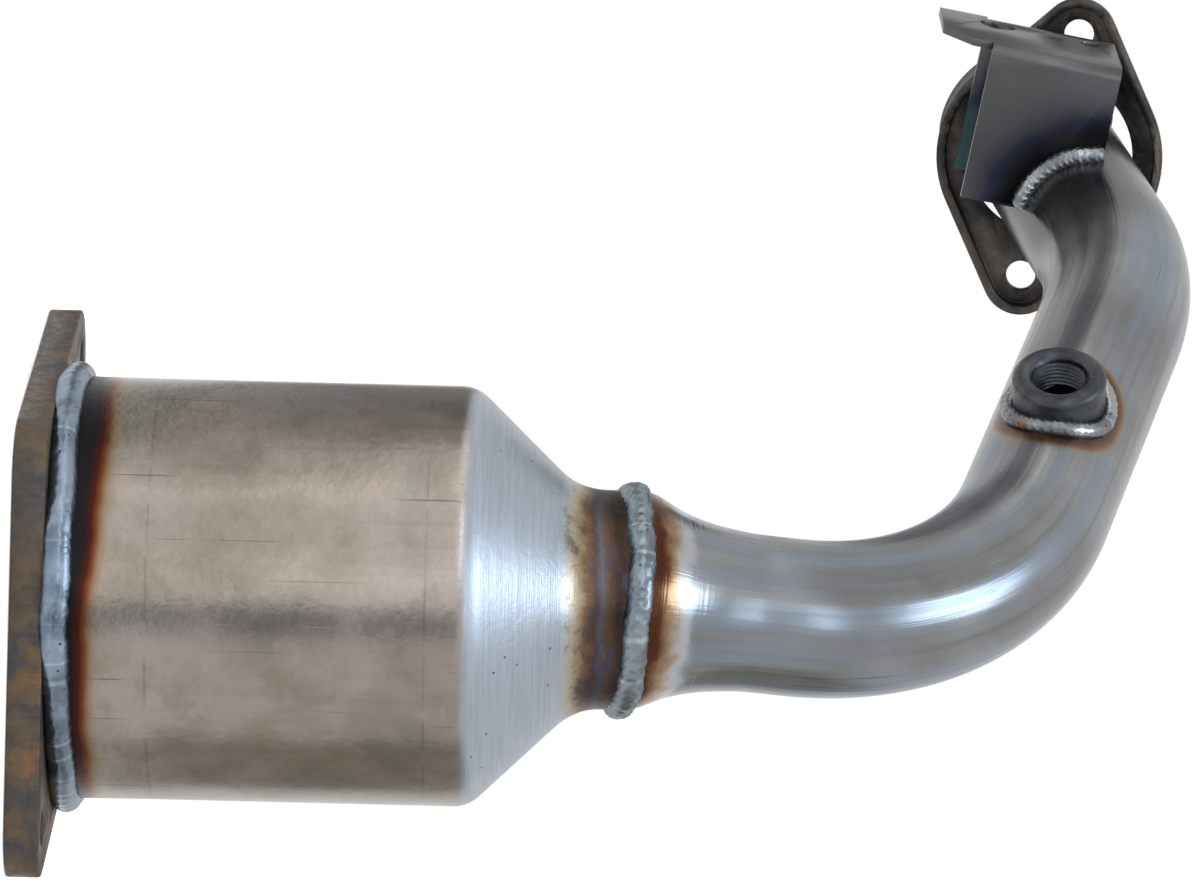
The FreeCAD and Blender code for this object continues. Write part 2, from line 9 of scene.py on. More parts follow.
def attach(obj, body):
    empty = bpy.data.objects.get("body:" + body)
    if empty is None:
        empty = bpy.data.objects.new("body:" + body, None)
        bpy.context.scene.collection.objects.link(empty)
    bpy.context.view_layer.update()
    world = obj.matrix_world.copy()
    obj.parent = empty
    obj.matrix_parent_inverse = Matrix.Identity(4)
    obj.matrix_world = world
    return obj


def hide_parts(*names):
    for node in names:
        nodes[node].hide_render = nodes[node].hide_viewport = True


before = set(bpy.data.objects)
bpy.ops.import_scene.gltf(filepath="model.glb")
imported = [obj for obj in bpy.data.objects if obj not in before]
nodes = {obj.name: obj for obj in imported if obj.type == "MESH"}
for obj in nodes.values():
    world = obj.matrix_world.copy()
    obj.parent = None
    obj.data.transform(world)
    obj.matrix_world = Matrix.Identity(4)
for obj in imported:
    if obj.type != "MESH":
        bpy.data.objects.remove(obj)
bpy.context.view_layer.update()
scene = bpy.context.scene


# a socket that can be used in plain sums
class Val:
    def __init__(self, finish, socket):
        self.finish = finish
        self.socket = socket

    def sum(self, kind, a, b):
        return self.finish.node("ShaderNodeMath", {"operation": kind}, {0: a, 1: b})

    def __add__(self, other):
        return self.sum("ADD", self, other)

    def __radd__(self, other):
        return self.sum("ADD", other, self)

    def __sub__(self, other):
        return self.sum("SUBTRACT", self, other)

    def __rsub__(self, other):
        return self.sum("SUBTRACT", other, self)

    def __mul__(self, other):
        return self.sum("MULTIPLY", self, other)

    def __rmul__(self, other):
        return self.sum("MULTIPLY", other, self)


# one procedural material and the tools to wire it
class Finish:
    def __init__(self, name, metallic=1.0, roughness=0.4):
        self.mat = bpy.data.materials.new(name)
        self.mat.use_nodes = True
        self.tree = self.mat.node_tree
        self.shader = self.tree.nodes["Principled BSDF"]
        self.shader.inputs["Metallic"].default_value = metallic
        self.shader.inputs["Roughness"].default_value = roughness

    def node(self, kind, settings=None, values=None, out=0):
        n = self.tree.nodes.new(kind)
        for key, value in (settings or {}).items():
            if key == "stops":
                band = n.color_ramp
                while len(band.elements) < len(value):
                    band.elements.new(0.5)
                for element, (place, colour) in zip(band.elements, value):
                    element.position = place
                    element.color = (*colour, 1) if len(colour) == 3 else colour
            else:
                setattr(n, key, value)
        for key, value in (values or {}).items():
            if isinstance(value, Val):
                self.tree.links.new(value.socket, n.inputs[key])
            else:
                n.inputs[key].default_value = value
        return Val(self, n.outputs[out])

    def place(self):
        return self.node("ShaderNodeTexCoord", out=3)

    def attribute(self, name):
        return self.node("ShaderNodeAttribute", {"attribute_name": name}, out=2)

    def axes(self, vector):
        n = self.tree.nodes.new("ShaderNodeSeparateXYZ")
        self.tree.links.new(vector.socket, n.inputs[0])
        return [Val(self, n.outputs[i]) for i in range(3)]

    def join(self, x, y, z):
        return self.node("ShaderNodeCombineXYZ", {}, {0: x, 1: y, 2: z})

    def noise(self, vector, scale, detail=3.0, rough=0.55):
        return self.node("ShaderNodeTexNoise", {}, {"Vector": vector, "Scale": scale, "Detail": detail,
                                                    "Roughness": rough})

    def stretch(self, vector, x, y, z):
        return self.node("ShaderNodeVectorMath", {"operation": "MULTIPLY"}, {0: vector, 1: (x, y, z)})

    def between(self, value, low, high, lowOut=0.0, highOut=1.0, curve="SMOOTHSTEP"):
        return self.node("ShaderNodeMapRange", {"interpolation_type": curve},
                         {0: value, 1: low, 2: high, 3: lowOut, 4: highOut})

    def mix(self, amount, a, b):
        n = self.tree.nodes.new("ShaderNodeMix")
        n.data_type = "RGBA"
        for socket, value in ((n.inputs[0], amount), (n.inputs[6], a), (n.inputs[7], b)):
            if isinstance(value, Val):
                self.tree.links.new(value.socket, socket)
            else:
                socket.default_value = (*value, 1) if isinstance(value, tuple) else value
        return Val(self, n.outputs[2])

    def ramp(self, value, stops):
        return self.node("ShaderNodeValToRGB", {"stops": stops}, {0: value})

    def bump(self, height, strength, distance):
        return self.node("ShaderNodeBump", {}, {"Strength": strength, "Distance": distance,
                                                "Height": height})

    def set(self, **sockets):
        for key, value in sockets.items():
            socket = self.shader.inputs[key.replace("_", " ")]
            self.tree.links.new(value.socket, socket)
        return self.mat


# one Geometry Nodes tree with named sizes; it ends in Realize Instances and Set Material
class Tree:
    def __init__(self, name, sizes):
        self.tree = bpy.data.node_groups.new(name, "GeometryNodeTree")
        self.tree.is_modifier = True
        face = self.tree.interface
        face.new_socket(name="Geometry", in_out="INPUT", socket_type="NodeSocketGeometry")
        for label, value in sizes.items():
            face.new_socket(name=label, in_out="INPUT", socket_type="NodeSocketFloat").default_value = value
        face.new_socket(name="Finish", in_out="INPUT", socket_type="NodeSocketMaterial")
        face.new_socket(name="Geometry", in_out="OUTPUT", socket_type="NodeSocketGeometry")
        self.given = self.add("NodeGroupInput").outputs

    def add(self, kind, settings=None, values=None):
        n = self.tree.nodes.new(kind)
        for key, value in (settings or {}).items():
            setattr(n, key, value)
        for key, value in (values or {}).items():
            if isinstance(value, bpy.types.NodeSocket):
                self.tree.links.new(value, n.inputs[key])
            else:
                n.inputs[key].default_value = value
        return n

    def maths(self, kind, a, b=None):
        values = {0: a} if b is None else {0: a, 1: b}
        return self.add("ShaderNodeMath", {"operation": kind}, values).outputs[0]

    def keep(self, name, geometry, value):
        n = self.add("GeometryNodeStoreNamedAttribute", {"data_type": "FLOAT", "domain": "POINT"},
                     {"Geometry": geometry, "Name": name, "Value": value})
        return n.outputs["Geometry"]

    def read(self, name):
        return self.add("GeometryNodeInputNamedAttribute", {"data_type": "FLOAT"}, {"Name": name}).outputs[0]

    def close(self, geometry):
        real = self.add("GeometryNodeRealizeInstances", {}, {"Geometry": geometry})
        paint = self.add("GeometryNodeSetMaterial", {}, {"Geometry": real.outputs["Geometry"],
                                                         "Material": self.given["Finish"]})
        self.add("NodeGroupOutput", {}, {"Geometry": paint.outputs["Geometry"]})
        return self.tree


def runNodes(tree, source, values):
    # a throwaway object carries the tree, and its result comes back as a plain mesh
    carrier = bpy.data.objects.new("carrier", source)
    scene.collection.objects.link(carrier)
    modifier = carrier.modifiers.new("nodes", "NODES")
    modifier.node_group = tree
    ids = {s.name: s.identifier for s in tree.interface.items_tree
           if s.item_type == "SOCKET" and s.in_out == "INPUT"}
    for name, value in values.items():
        modifier[ids[name]] = value
    result = bpy.data.meshes.new_from_object(carrier.evaluated_get(bpy.context.evaluated_depsgraph_get()))
    carrier.modifiers.remove(modifier)
    bpy.data.objects.remove(carrier)
    return result


def newPiece(name, mesh, material, replaced=(), smooth=True):
    piece = bpy.data.objects.new(name, mesh)
    scene.collection.objects.link(piece)
    mesh.materials.clear()
    mesh.materials.append(material)
    for face in mesh.polygons:
        face.use_smooth = smooth
    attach(piece, "root")
    if replaced:
        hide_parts(*replaced)
    return piece


def turnAngles(count):
    return [2 * math.pi * j / count for j in range(count)]


def gridMesh(name, rows):
    # rows of points; each row closes on itself, and the last row joins the first again
    count = len(rows[0])
    faces = []
    for i in range(len(rows)):
        k = (i + 1) % len(rows)
        for j in range(count):
            m = (j + 1) % count
            faces.append((i * count + j, i * count + m, k * count + m, k * count + j))
    mesh = bpy.data.meshes.new(name)
    mesh.from_pydata([tuple(p) for row in rows for p in row], [], faces)
    return mesh


def outward(mesh):
    work = bmesh.new()
    work.from_mesh(mesh)
    bmesh.ops.recalc_face_normals(work, faces=work.faces)
    work.to_mesh(mesh)
    work.free()


def mergedCopy(node, bevel, segments=2, angle=30):
    # a clean copy of a CAD node with its sharp edges softened
    mesh = nodes[node].data.copy()
    work = bmesh.new()
    work.from_mesh(mesh)
    bmesh.ops.remove_doubles(work, verts=work.verts, dist=2e-6)
    bmesh.ops.dissolve_limit(work, angle_limit=math.radians(1.0), verts=work.verts, edges=work.edges)
    work.to_mesh(mesh)
    work.free()
    holder = bpy.data.objects.new(node + "Copy", mesh)
    scene.collection.objects.link(holder)
    edge = holder.modifiers.new("edge", "BEVEL")
    edge.width = bevel
    edge.segments = segments
    edge.limit_method = "ANGLE"
    edge.angle_limit = math.radians(angle)
    edge.harden_normals = True
    result = bpy.data.meshes.new_from_object(holder.evaluated_get(bpy.context.evaluated_depsgraph_get()))
    bpy.data.objects.remove(holder)
    return result


pipe = {
    "radius": 0.024, "wall": 0.0015, "bendRadius": 0.095,
    "foot": Vector((0, 0, 0.191)), "mitreLevel": 0.180, "sunk": 0.0092,  # the foot starts below the mitre
    "corners": (Vector((0.0167, 0.0199, 0.2894)), Vector((-0.0565, 0.1763, 0.3429))),
    "end": Vector((-0.0829, 0.2922, 0.3153)),
    "waists": ((0.0, 0.0332), (0.0046, 0.0332), (0.0078, 0.0318), (0.0142, 0.0286), (0.0204, 0.0266),
               (0.0267, 0.02525), (0.0330, 0.0245), (0.0380, 0.0240)),  # how the foot narrows along the tube
    "flareRadius": 0.031, "flareRun": 0.012, "flareBelly": 0.86, "around": 112, "step": 0.0022,
    "footHeat": (0.004, 0.020), "bossHeat": (0.0185, 0.0265), "darkFrom": (0.276, 0.300),
}


def routePoints():
    a, (b, c), d = pipe["foot"], pipe["corners"], pipe["end"]
    one, two, three = (b - a).normalized(), (c - b).normalized(), (d - c).normalized()
    start = Vector((0, 0, pipe["mitreLevel"]))

    def bend(corner, u, v):
        half = u.angle(v) / 2
        reach = pipe["bendRadius"] * math.tan(half)
        centre = corner + (v - u).normalized() * pipe["bendRadius"] / math.cos(half)
        first = corner - u * reach
        axis = u.cross(v).normalized()
        return first, corner + v * reach, centre, axis, 2 * half

    points, tangents = [], []

    def run(p, q):
        steps = max(2, round((q - p).length / pipe["step"]))
        for i in range(steps):
            points.append(p.lerp(q, i / steps))
            tangents.append((q - p).normalized())

    def arc(first, centre, axis, angle, u):
        steps = round(pipe["bendRadius"] * angle / pipe["step"])
        for i in range(steps):
            turn = Matrix.Rotation(angle * i / steps, 3, axis)
            points.append(centre + turn @ (first - centre))
            tangents.append((turn @ u).normalized())

    f1, l1, c1, x1, g1 = bend(b, one, two)
    f2, l2, c2, x2, g2 = bend(c, two, three)
    run(start - one * pipe["sunk"], f1)
    arc(f1, c1, x1, g1, one)
    run(l1, f2)
    arc(f2, c2, x2, g2, two)
    run(l2, d)
    points.append(d)
    tangents.append(three)
    return points, tangents, (one, two, three)


centreLine, tangents, runs = routePoints()
mitreNormal = (Vector((0, 0, 1)) + runs[0]).normalized()
mitrePoint = Vector((0, 0, pipe["mitreLevel"]))
distances = [-pipe["sunk"]]
for i in range(1, len(centreLine)):
    distances.append(distances[-1] + (centreLine[i] - centreLine[i - 1]).length)
total = distances[-1]
print("route of", len(centreLine), "stations,", round(total, 4), "m")


def footShape(s):
    stops = pipe["waists"]
    if s <= stops[0][0]:
        return stops[0][1]
    for (a, ra), (b, rb) in zip(stops, stops[1:]):
        if s <= b:
            return ra + (rb - ra) * (s - a) / (b - a)
    return pipe["radius"]


def pipeRadius(s):
    radius = sum(footShape(s + d) for d in (-0.002, -0.001, 0, 0.001, 0.002)) / 5
    left = total - s
    if left < pipe["flareRun"]:
        t, belly = 1 - left / pipe["flareRun"], pipe["flareBelly"]
        opened = (1 - math.sqrt(1 - t * t * belly)) / (1 - math.sqrt(1 - belly))
        radius += (pipe["flareRadius"] - pipe["radius"]) * opened
    return radius


boss = {
    "radius": 0.01475, "core": 0.0082, "major": 0.009, "pitch": 0.0015, "height": 0.0335, "chamfer": 0.0016,
    "along": 0.0284, "tilt": -3.0, "around": 96, "pipeHole": 0.0105, "threadRows": 84,
}
reachOne = pipe["bendRadius"] * math.tan(runs[0].angle(runs[1]) / 2)
bossPoint = pipe["corners"][0] + runs[1] * (reachOne + boss["along"])
bossLean = Matrix.Rotation(math.radians(boss["tilt"]), 3, runs[1])
bossAxis = bossLean @ Vector((0, 0, 1)).cross(runs[1]).normalized()
bossSide = bossAxis.cross(runs[1]).normalized()


def sideAxes(tangent):
    x = Vector((0, 0, 1)).cross(tangent)
    if x.length < 1e-6:
        x = Vector((1, 0, 0))
    x.normalize()
    return x, tangent.cross(x)


def pipeFinish():
    f = Finish("pipeSteel", roughness=0.3)
    s, turn = f.axes(f.node("ShaderNodeUVMap", {"uv_map": "pipeUV"}))[:2]
    cosTurn = f.node("ShaderNodeMath", {"operation": "COSINE"}, {0: turn})
    sinTurn = f.node("ShaderNodeMath", {"operation": "SINE"}, {0: turn})
    spot = f.join(cosTurn * pipe["radius"], sinTurn * pipe["radius"], s)
    cloud = f.noise(spot, 22, 4)
    streak = f.noise(f.stretch(spot, 460, 460, 12), 1.0, 4)  # drawn lines along the tube
    base = f.ramp(cloud, [(0.34, (0.175, 0.172, 0.168)), (0.5, (0.225, 0.226, 0.23)),
                          (0.66, (0.28, 0.287, 0.3))])
    base = f.mix(f.between(streak, 0.46, 0.68) * 0.5, base, (0.14, 0.138, 0.136))
    band = f.noise(f.stretch(spot, 105, 105, 6), 1.0, 2)  # wide bluish bands along the tube, lighter and darker: painted reflection
    base = f.mix(f.between(band, 0.40, 0.62) * 0.7, base, (0.2, 0.236, 0.285))
    base = f.mix(f.between(band, 0.60, 0.72) * 0.35, base, (0.12, 0.135, 0.16))
    scratch = f.noise(f.stretch(spot, 900, 900, 22), 1.0, 1)
    gate = f.noise(spot, 30, 1)
    cuts = f.between(scratch, 0.7, 0.74) * f.between(gate, 0.46, 0.58)
    base = f.mix(cuts * 0.7, base, (0.06, 0.055, 0.05))
    wobble = (f.noise(spot, 60, 3) - 0.5) * 0.004
    stain = f.noise(spot, 130, 4, 0.7)
    neck = f.between(s + wobble * 1.4 + (stain - 0.5) * 0.008, *pipe["footHeat"])
    neckTint = f.ramp(neck, [(0.0, (0.07, 0.026, 0.014)), (0.1, (0.2, 0.11, 0.06)),
                             (0.3, (0.3, 0.23, 0.16)), (0.5, (0.38, 0.37, 0.36)),
                             (0.8, (0.4, 0.43, 0.47)), (1.0, (0.25, 0.255, 0.265))])
    base = f.mix(f.between(neck, 0.6, 1.0, 1.0, 0.0), base, neckTint)
    rings = f.noise(f.stretch(spot, 20, 20, 900), 1.0, 2) * f.between(s, 0.012, 0.03, 1.0, 0.0)
    around = f.between(f.attribute("bossReach") + wobble, *pipe["bossHeat"])
    bossTint = f.ramp(around, [(0.0, (0.06, 0.03, 0.02)), (0.3, (0.15, 0.075, 0.035)),
                               (0.6, (0.24, 0.19, 0.13)), (1.0, (0.25, 0.245, 0.235))])
    base = f.mix(f.between(around, 0.45, 1.0, 0.9, 0.0), base, bossTint)
    dim = f.between(s + wobble, *pipe["darkFrom"])  # the pipe is darker past the bracket
    base = f.mix(dim * 0.75, base, (0.1, 0.095, 0.09))
    rough = f.between(cloud, 0.3, 0.7, 0.21, 0.3) + (streak - 0.5) * 0.14
    relief = streak * 0.6 + f.noise(spot, 34, 2) * 0.9 + cuts * -0.5 + rings * 0.8
    return f.set(Base_Color=base, Roughness=rough, Normal=f.bump(relief, 0.22, 0.0008))


def pipeRows():
    # side axes are carried along the line so that drawn lines don't spiral
    x = sideAxes(tangents[0])[0]
    sides = []
    for i, t in enumerate(tangents):
        if i:
            x = tangents[i - 1].rotation_difference(t) @ x
            x = (x - t * x.dot(t)).normalized()
        sides.append((x.copy(), t.cross(x)))

    def ring(i, inset):
        c, (x, y), s = centreLine[i], sides[i], distances[i]
        r = pipeRadius(s) - inset
        points = []
        for a in turnAngles(pipe["around"]):
            p = c + (x * math.cos(a) + y * math.sin(a)) * r
            past = (p - mitrePoint).dot(mitreNormal)
            if s < 0.012 and past < 0:  # the foot ends on the mitre
                p = p - tangents[i] * past / tangents[i].dot(mitreNormal)
            points.append(p)
        return points

    last = len(centreLine) - 1
    outer = [ring(i, 0) for i in range(last + 1)]
    lip = [[p + tangents[-1] * 0.0004 for p in ring(last, pipe["wall"] * k)] for k in (0.15, 0.85)]
    inner = [ring(i, pipe["wall"]) for i in range(last, -1, -1)]
    return outer + lip + inner, distances + [total, total] + distances[::-1]


def buildPipe():
    rows, lengths = pipeRows()
    mesh = gridMesh("pipeTube", rows)
    layer = mesh.uv_layers.new(name="pipeUV")
    around = pipe["around"]
    for face in mesh.polygons:
        columns = [v % around for v in face.vertices]
        wrap = around - 1 in columns and 0 in columns
        for corner, vertex, j in zip(face.loop_indices, face.vertices, columns):
            turn = 2 * math.pi * (around if wrap and j == 0 else j) / around
            layer.data[corner].uv = (lengths[vertex // around], turn)
    reach = mesh.attributes.new("bossReach", "FLOAT", "POINT")
    bossFoot = bossPoint + bossAxis * pipe["radius"]
    reach.data.foreach_set("value", [(v.co - bossFoot).length for v in mesh.vertices])

    def inHole(face):
        arm = face.calc_center_median() - bossPoint
        rise = arm.dot(bossAxis)
        return rise > 0.01 and (arm - bossAxis * rise).length < boss["pipeHole"]

    work = bmesh.new()
    work.from_mesh(mesh)
    bmesh.ops.remove_doubles(work, verts=work.verts, dist=1e-6)
    bmesh.ops.delete(work, geom=[face for face in work.faces if inHole(face)], context="FACES")
    bmesh.ops.bridge_loops(work, edges=[e for e in work.edges if e.is_boundary])
    bmesh.ops.recalc_face_normals(work, faces=work.faces)
    work.to_mesh(mesh)
    work.free()
    newPiece("pipeTube", mesh, pipeFinish(), ["outlet_pipe"])


shell = {
    "radius": 0.0635, "sheet": 0.0015, "start": 0.010, "shoulder": 0.1342, "coneEnd": 0.1658,
    "neck": 0.0332, "shoulderRound": 0.012, "neckRound": 0.020, "cornerRun": 0.0085, "around": 168,
    "swell": 0.0008, "swellFade": 0.008, "leanFrom": 0.166,
    "footHeat": (0.0185, 0.033), "neckHeat": (0.160, 0.178), "brightFrom": (0.1305, 0.1345),
    "seams": (0.0396, 0.1213), "seamHalf": 0.0007,
}


def rounded(corner, before, after, reach):
    # a corner turned along a parabola
    p, q = corner - before * reach, corner + after * reach
    return [tuple(p.lerp(corner, k / 12).lerp(corner.lerp(q, k / 12), k / 12)) for k in range(13)]


def shellLine(inset):
    # (radius, height) pairs from the foot to the mitre
    r, n = shell["radius"] - inset, shell["neck"] - inset
    slope = math.atan2(shell["radius"] - shell["neck"], shell["coneEnd"] - shell["shoulder"])
    drop = inset * math.tan(slope / 2)
    a, b = Vector((r, shell["shoulder"] - drop)), Vector((n, shell["coneEnd"] - drop))
    up, down = Vector((0, 1)), (b - a).normalized()
    swell = 0 if inset else shell["swell"]  # the skin stands out a little at the weld
    line = [(r + swell * math.exp(-(z - shell["start"]) / shell["swellFade"]), z)
            for z in np.linspace(shell["start"], 0.125, 40)]
    bent = math.tan(up.angle(down) / 2)
    first = min((shell["shoulderRound"] - inset) * bent, shell["cornerRun"])
    second = min((shell["neckRound"] + inset) * bent, shell["cornerRun"])
    line += rounded(a, up, down, first)
    p, q = a + down * first, b - down * shell["cornerRun"]
    line += [tuple(p.lerp(q, k / 14)) for k in range(1, 14)]
    line += rounded(b, down, up, second)
    line += [(n, z) for z in np.linspace(b.y + 0.0092, pipe["mitreLevel"], 5)[1:]]
    return line


def shellFinish():
    f = Finish("shellSteel", roughness=0.36)
    spot = f.place()
    x, y, z = f.axes(spot)
    cloud = f.noise(spot, 16, 4)
    fine = f.noise(spot, 420, 2)
    wobble = (f.noise(spot, 34, 3) - 0.5) * 0.0046
    warm = f.ramp(cloud, [(0.34, (0.2, 0.185, 0.152)), (0.47, (0.265, 0.236, 0.2)),
                          (0.56, (0.315, 0.27, 0.24)), (0.68, (0.245, 0.23, 0.2))])
    upper = x * -0.961 + y * 0.276  # the side that lies up when the can is on its side
    streak = f.noise(f.stretch(spot, 150, 150, 9), 1.0, 4)  # runs along the can
    warm = f.mix(f.between(streak, 0.52, 0.72) * 0.45, warm, (0.2, 0.175, 0.15))
    blotch = f.noise(spot, 75, 4, 0.65)
    warm = f.mix(f.between(blotch, 0.5, 0.66) * 0.35, warm, (0.17, 0.155, 0.115))
    warm = f.mix(f.between(blotch, 0.46, 0.34) * 0.3, warm, (0.36, 0.315, 0.275))
    scratch = f.noise(f.stretch(spot, 900, 900, 8), 1.0, 1)
    gate = f.noise(spot, 22, 1)
    cuts = f.between(scratch, 0.69, 0.72) * f.between(gate, 0.46, 0.56)

    def seam(level):  # a faint rolled line right round the can
        half = shell["seamHalf"]
        return f.between(z, level - half, level) * f.between(z, level, level + half, 1.0, 0.0)

    seams = seam(shell["seams"][0]) + seam(shell["seams"][1])
    warm = f.mix(cuts * 0.65, warm, (0.05, 0.042, 0.035))
    warm = f.mix(seams * f.between(blotch, 0.4, 0.6) * 0.4, warm, (0.1, 0.09, 0.085))
    bright = f.mix(f.noise(f.stretch(spot, 40, 40, 1300), 1.0, 3), (0.26, 0.285, 0.32), (0.42, 0.46, 0.53))
    speck = f.node("ShaderNodeTexVoronoi", {}, {"Vector": spot, "Scale": 190.0})
    bright = f.mix(f.between(speck, 0.10, 0.05) * f.between(gate, 0.5, 0.56), bright, (0.05, 0.045, 0.045))
    base = f.mix(f.between(z + wobble * 0.2, *shell["brightFrom"]), warm, bright)
    spread = f.between(upper, -0.008, 0.03, 0.0042, 0.0)  # the dark foot band reaches further along the can on the lower side
    foot = f.between(z + wobble + spread, *shell["footHeat"], curve="LINEAR")
    footTint = f.ramp(foot, [(0.0, (0.011, 0.011, 0.013)), (0.28, (0.016, 0.012, 0.012)),
                             (0.42, (0.055, 0.012, 0.01)), (0.52, (0.13, 0.043, 0.016)),
                             (0.64, (0.22, 0.13, 0.07)), (0.8, (0.26, 0.21, 0.145)),
                             (1.0, (0.28, 0.24, 0.19))])
    base = f.mix(f.between(foot, 0.5, 1.0, 1.0, 0.0), base, footTint)
    stain = f.noise(spot, 110, 4, 0.7)
    neck = f.between(z + wobble * 1.5 + (stain - 0.5) * 0.007, *shell["neckHeat"], curve="LINEAR")
    neckTint = f.ramp(neck, [(0.0, (0.4, 0.39, 0.36)), (0.25, (0.36, 0.31, 0.22)),
                             (0.45, (0.15, 0.09, 0.05)), (0.60, (0.07, 0.045, 0.045)),
                             (0.72, (0.085, 0.08, 0.09)), (0.85, (0.085, 0.05, 0.032)),
                             (1.0, (0.04, 0.026, 0.02))])
    neckTint = f.mix(f.between(stain, 0.53, 0.62) * 0.55, neckTint, (0.05, 0.055, 0.085))  # blue-black
    base = f.mix(f.between(neck, 0.02, 0.3), base, neckTint)
    edge = f.noise(f.stretch(spot, 30, 30, 2400), 1.0, 2)
    cone = f.between(z, 0.13, 0.136)
    rough = f.between(cloud, 0.3, 0.7, 0.2, 0.29) + (fine - 0.5) * 0.1 + f.between(foot, 0.0, 0.6, 0.16, 0.0)
    relief = fine * 0.35 + f.noise(spot, 30, 2) * 0.3 + cuts * -0.5 + edge * cone * 0.35
    return f.set(Base_Color=base, Roughness=rough + cone * 0.12, Normal=f.bump(relief, 0.2, 0.0009))


def buildShell():
    plumb, level = shell["leanFrom"], pipe["mitreLevel"]

    def ring(r, z):
        points = []
        for a in turnAngles(shell["around"]):
            p = Vector((r * math.cos(a), r * math.sin(a), z))
            if z > plumb:  # the neck's end leans into the mitre
                top = level - (p.x * mitreNormal.x + p.y * mitreNormal.y) / mitreNormal.z
                p.z = plumb + (z - plumb) * (top - plumb) / (level - plumb)
            points.append(p)
        return points

    line = shellLine(0) + shellLine(shell["sheet"])[::-1]
    mesh = gridMesh("canSkin", [ring(r, z) for r, z in line])
    outward(mesh)
    newPiece("canSkin", mesh, shellFinish(), ["converter_shell"])


welds = {
    "inlet": {"radius": 0.0636, "level": 0.0134, "halfWidth": 0.0045, "step": 0.0046, "height": 0.00022,
              "innerReach": 0.0627},
    "neck": {"radius": 0.0313, "halfWidth": 0.0043, "step": 0.0034, "height": 0.0005, "taper": 0.006},
    "boss": {"radius": 0.0158, "halfWidth": 0.0027, "step": 0.0021, "height": 0.0004},
    "bracket": {"radius": 0.0253, "halfWidth": 0.0031, "step": 0.0024, "height": 0.00045, "taper": 0.003},
}


def weldFinish(name, cool, warm, rust):
    f = Finish(name, roughness=0.34)
    spot = f.place()
    cloud = f.noise(spot, 95, 3)
    fine = f.noise(spot, 900, 2)
    base = f.mix(f.between(cloud, 0.38, 0.62), cool, warm)
    base = f.mix(f.between(f.noise(spot, 60, 4, 0.7), 0.55, 0.72), base, rust)
    pits = f.node("ShaderNodeTexVoronoi", {}, {"Vector": spot, "Scale": 240.0})
    pitted = f.between(pits, 0.16, 0.06) * f.between(cloud, 0.42, 0.52)
    base = f.mix(pitted * 0.8, base, (0.03, 0.03, 0.035))
    glints = f.between(f.noise(f.join(f.attribute("beadAlong") * 300, 0.0, 0.0), 1.0, 1), 0.58, 0.7)
    base = f.mix(glints * 0.35, base, (0.6, 0.64, 0.68))
    rough = f.between(cloud, 0.35, 0.65, 0.24, 0.42) + pitted * 0.3
    return f.set(Base_Color=base, Roughness=rough, Normal=f.bump(fine * 0.5 + cloud - pitted, 0.3, 0.0006))


def weldTree():
    t = Tree("weldBead", {"Half width": 0.004, "Ripple step": 0.002, "Ripple height": 0.0004, "Lag": 1.1,
                          "Taper": 0.004})
    given, maths = t.given, t.maths
    toCurve = t.add("GeometryNodeMeshToCurve", {}, {"Mesh": given["Geometry"]})
    along = t.add("GeometryNodeSplineParameter").outputs["Length"]
    line = t.keep("beadAlong", toCurve.outputs["Curve"], along)
    left = maths("SUBTRACT", t.add("GeometryNodeSplineLength").outputs["Length"], along)
    ratio = maths("MINIMUM", maths("DIVIDE", maths("MINIMUM", left, along), given["Taper"]), 1.0)
    roundEnd = maths("SQRT", maths("SUBTRACT", 1.0, maths("POWER", maths("SUBTRACT", 1.0, ratio), 2.0)))
    thick = t.add("GeometryNodeSetCurveRadius", {}, {"Curve": line,
                                                     "Radius": maths("MAXIMUM", roundEnd, 0.05)})
    ring = t.add("GeometryNodeCurvePrimitiveCircle", {}, {"Resolution": 28, "Radius": given["Half width"]})
    turn = t.add("GeometryNodeSplineParameter").outputs["Factor"]
    section = t.keep("beadTurn", ring.outputs["Curve"], turn)
    sweep = t.add("GeometryNodeCurveToMesh", {}, {"Curve": thick.outputs["Curve"], "Profile Curve": section,
                                                  "Fill Caps": True,
                                                  "Scale": t.add("GeometryNodeInputRadius").outputs[0]})
    spread = maths("COSINE", maths("MULTIPLY", t.read("beadTurn"), 4 * math.pi))
    lagged = maths("ADD", maths("DIVIDE", t.read("beadAlong"), given["Ripple step"]),
                   maths("MULTIPLY", spread, given["Lag"]))
    jitter = t.add("ShaderNodeTexNoise", {}, {"Scale": 140}).outputs[0]
    phase = maths("ADD", lagged, maths("MULTIPLY", jitter, 1.6))
    wave = maths("ABSOLUTE", maths("SINE", maths("MULTIPLY", phase, math.pi)))
    ripple = maths("MULTIPLY", maths("SUBTRACT", wave, 0.6), given["Ripple height"])
    lump = t.add("ShaderNodeTexNoise", {}, {"Scale": 210}).outputs[0]
    lumps = maths("MULTIPLY", maths("SUBTRACT", lump, 0.5), maths("MULTIPLY", given["Ripple height"], 2.2))
    offset = t.add("ShaderNodeVectorMath", {"operation": "SCALE"},
                   {0: t.add("GeometryNodeInputNormal").outputs[0], "Scale": maths("ADD", ripple, lumps)})
    move = t.add("GeometryNodeSetPosition", {}, {"Geometry": sweep.outputs["Mesh"],
                                                 "Offset": offset.outputs[0]})
    return t.close(move.outputs["Geometry"])


beadTree = weldTree()


